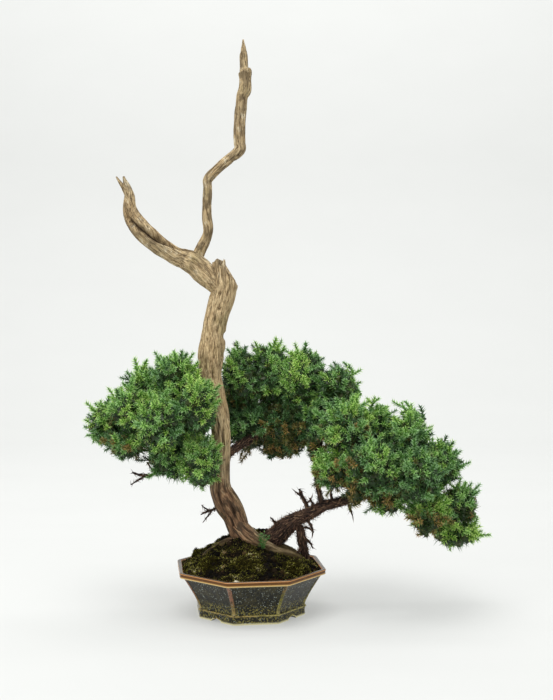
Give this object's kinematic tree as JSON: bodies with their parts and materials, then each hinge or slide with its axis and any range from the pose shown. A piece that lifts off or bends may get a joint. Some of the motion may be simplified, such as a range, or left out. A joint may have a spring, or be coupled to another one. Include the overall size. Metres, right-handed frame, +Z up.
{
  "type": "bonsai tree in a pot",
  "caption": "Juniper bonsai with a bare twisted trunk, bleached dead tops and needle foliage pads, growing in soil in a shallow octagonal glazed pot.",
  "frame": {"origin": "on the surface that the pot stands on, under the middle of the whole plant's box; the pot's axis is at x -0.037, y -0.006", "axes": "+X to the right of the tree's front, +Y to its back, +Z up along its height"},
  "size_m": [0.434, 0.1782, 0.621],
  "materials": {
    "olive_glaze": "gloss",
    "soil": "matte",
    "moss": "matte",
    "deadwood": "matte",
    "bark": "matte",
    "needles": "satin",
    "sprig_leaf": "satin",
    "black_plastic": "matte",
    "wire": "satin"
  },
  "bodies": {
    "root": {"back_branch": "bark", "branch_root": "bark", "dead_stub": "bark", "drainage_mesh_left": "black_plastic", "drainage_mesh_right": "black_plastic", "foliage_back_left": "needles", "foliage_back_low_left": "needles", "foliage_back_low_right": "needles", "foliage_back_right": "needles", "foliage_back_top": "needles", "foliage_left_back": "needles", "foliage_left_crown": "needles", "foliage_left_inner_front": "needles", "foliage_left_low": "needles", "foliage_left_low_front": "needles", "foliage_left_low_outer": "needles", "foliage_left_mid_front": "needles", "foliage_left_outer": "needles", "foliage_left_rear": "needles", "foliage_left_tip": "needles", "foliage_left_upper": "needles", "foliage_right_back": "needles", "foliage_right_crown": "needles", "foliage_right_far": "needles", "foliage_right_far_tip": "needles", "foliage_right_low": "needles", "foliage_right_low_inner": "needles", "foliage_right_mid": "needles", "foliage_right_mid_front": "needles", "foliage_right_outer": "needles", "foliage_right_outer_front": "needles", "foliage_right_outer_low": "needles", "foliage_right_outer_upper": "needles", "foliage_right_upper": "needles", "left_branch": "bark", "left_crown_branch": "bark", "mesh_clip_left": "wire", "mesh_clip_right": "wire", "moss_back": "moss", "moss_front": "moss", "moss_front_left": "moss", "moss_left": "moss", "moss_right": "moss", "outer_branch": "bark", "pot": "olive_glaze", "rear_shoot_branch": "bark", "right_branch": "bark", "soil": "soil", "trunk": "deadwood", "trunk_twig": "bark", "under_twig": "bark", "upright_branch": "bark", "weed_sprig": "sprig_leaf"}
  },
  "joints": []
}
